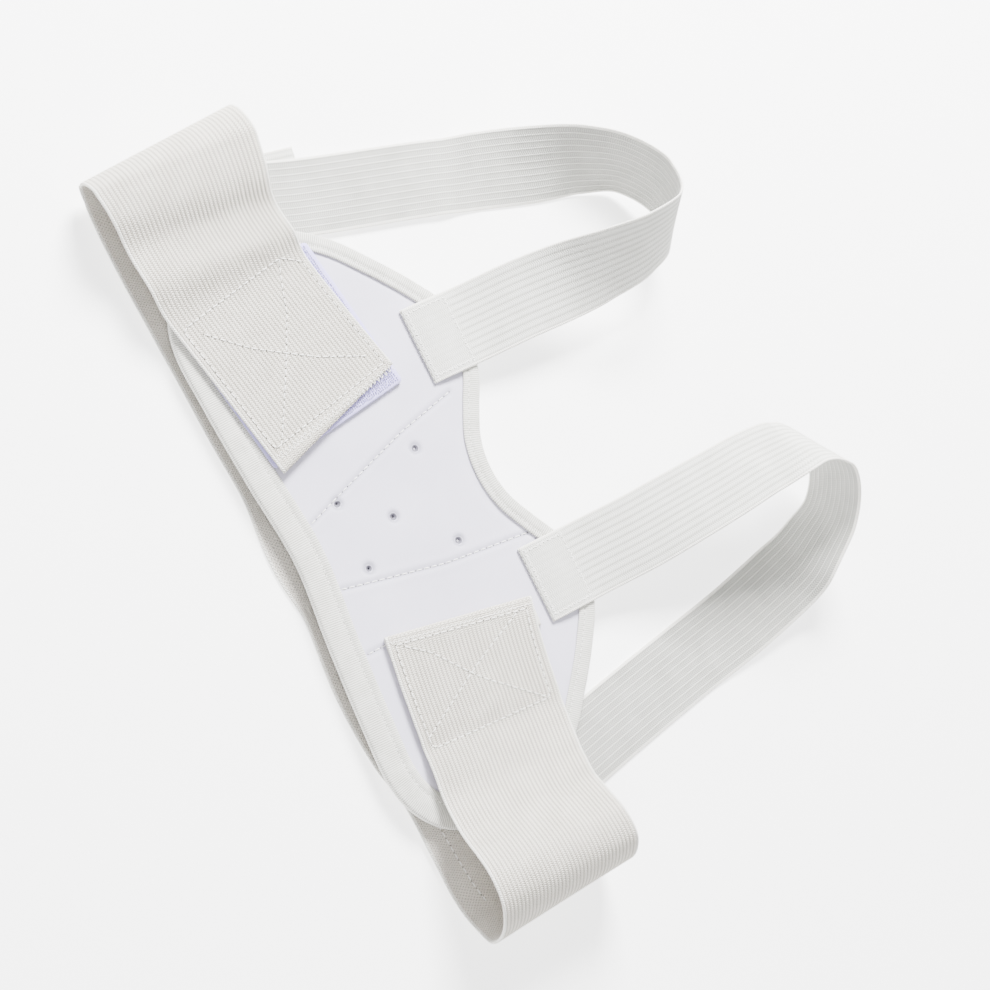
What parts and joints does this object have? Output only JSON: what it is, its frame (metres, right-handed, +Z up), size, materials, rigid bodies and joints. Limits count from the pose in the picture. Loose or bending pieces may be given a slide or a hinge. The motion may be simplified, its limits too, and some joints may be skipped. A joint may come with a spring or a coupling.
{
  "type": "hernia belt",
  "caption": "Double-sided hernia support belt: bound foam front panel with air holes, wide elastic waist band in end loops, and looping elastic leg straps.",
  "frame": {"origin": "on the surface that the belt lies on, under the middle of its box", "axes": "+X along the waist band, from the upper tab to the lower tab; +Y from the waist edge to the leg straps; +Z up, out of the front of the panel"},
  "size_m": [0.392, 0.2744, 0.0591],
  "materials": {
    "laminate": "smooth cool white foam laminate",
    "knit_tape": "soft white knit tape",
    "warm_elastic": "warm off-white ribbed elastic",
    "hook_tape": "lilac hook tape",
    "plain_elastic": "off-white ribbed elastic"
  },
  "bodies": {
    "root": {"front_panel": "laminate", "edge_binding": "knit_tape", "waist_band": "warm_elastic", "waist_hook_patch": "hook_tape", "leg_strap_left": "plain_elastic", "leg_strap_right": "plain_elastic"}
  },
  "joints": []
}
